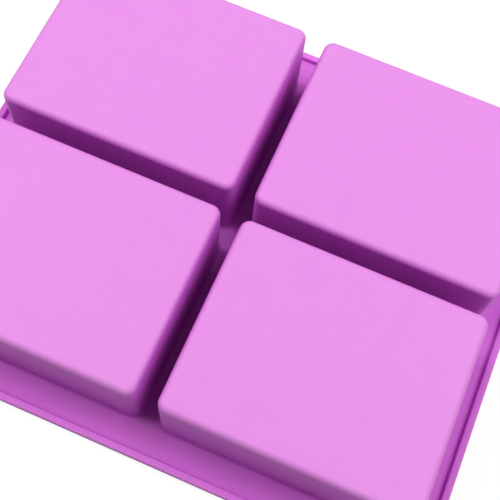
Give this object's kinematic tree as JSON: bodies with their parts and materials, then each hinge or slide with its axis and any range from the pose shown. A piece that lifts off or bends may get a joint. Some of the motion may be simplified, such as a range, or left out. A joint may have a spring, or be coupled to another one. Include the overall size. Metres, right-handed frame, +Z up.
{
  "type": "silicone soap mould",
  "caption": "Flexible silicone soap mould lying face down: rectangular cups with rounded corners on a thin rimmed deck. It folds between the cups, and each cup floor presses in.",
  "frame": {"origin": "on the table under the middle of the mould, which lies face down", "axes": "+X along the long sides of the cups, +Y away from the camera, +Z up from the mould's face to the cup floors"},
  "size_m": [0.1958, 0.1642, 0.0342],
  "materials": {
    "silicone": "satin orchid-pink silicone, slightly translucent"
  },
  "bodies": {
    "left_half": {"left_deck": "silicone", "left_rim": "silicone", "front_left_cup_wall": "silicone", "rear_left_cup_wall": "silicone"},
    "right_half": {"right_deck": "silicone", "right_rim": "silicone", "front_right_cup_wall": "silicone", "rear_right_cup_wall": "silicone"},
    "front_left_floor": {"front_left_cup_floor": "silicone"},
    "front_right_floor": {"front_right_cup_floor": "silicone"},
    "rear_left_floor": {"rear_left_cup_floor": "silicone"},
    "rear_right_floor": {"rear_right_cup_floor": "silicone"}
  },
  "joints": [
    {"name": "fold", "type": "hinge", "parent": "left_half", "child": "right_half", "pos_m": [0, 0, 0.00395], "axis": [0, -1, 0], "range_deg": [0, 13], "stiffness_Nm_per_rad": 0.04},
    {"name": "front_left_floor_press", "type": "slide", "parent": "left_half", "child": "front_left_floor", "axis": [0, 0, -1], "range_m": [0, 0.015], "stiffness_N_per_m": 350, "springref_m": -0.0005},
    {"name": "front_right_floor_press", "type": "slide", "parent": "right_half", "child": "front_right_floor", "axis": [0, 0, -1], "range_m": [0, 0.015], "stiffness_N_per_m": 350, "springref_m": -0.0005},
    {"name": "rear_left_floor_press", "type": "slide", "parent": "left_half", "child": "rear_left_floor", "axis": [0, 0, -1], "range_m": [0, 0.015], "stiffness_N_per_m": 350, "springref_m": -0.0005},
    {"name": "rear_right_floor_press", "type": "slide", "parent": "right_half", "child": "rear_right_floor", "axis": [0, 0, -1], "range_m": [0, 0.015], "stiffness_N_per_m": 350, "springref_m": -0.0005}
  ]
}
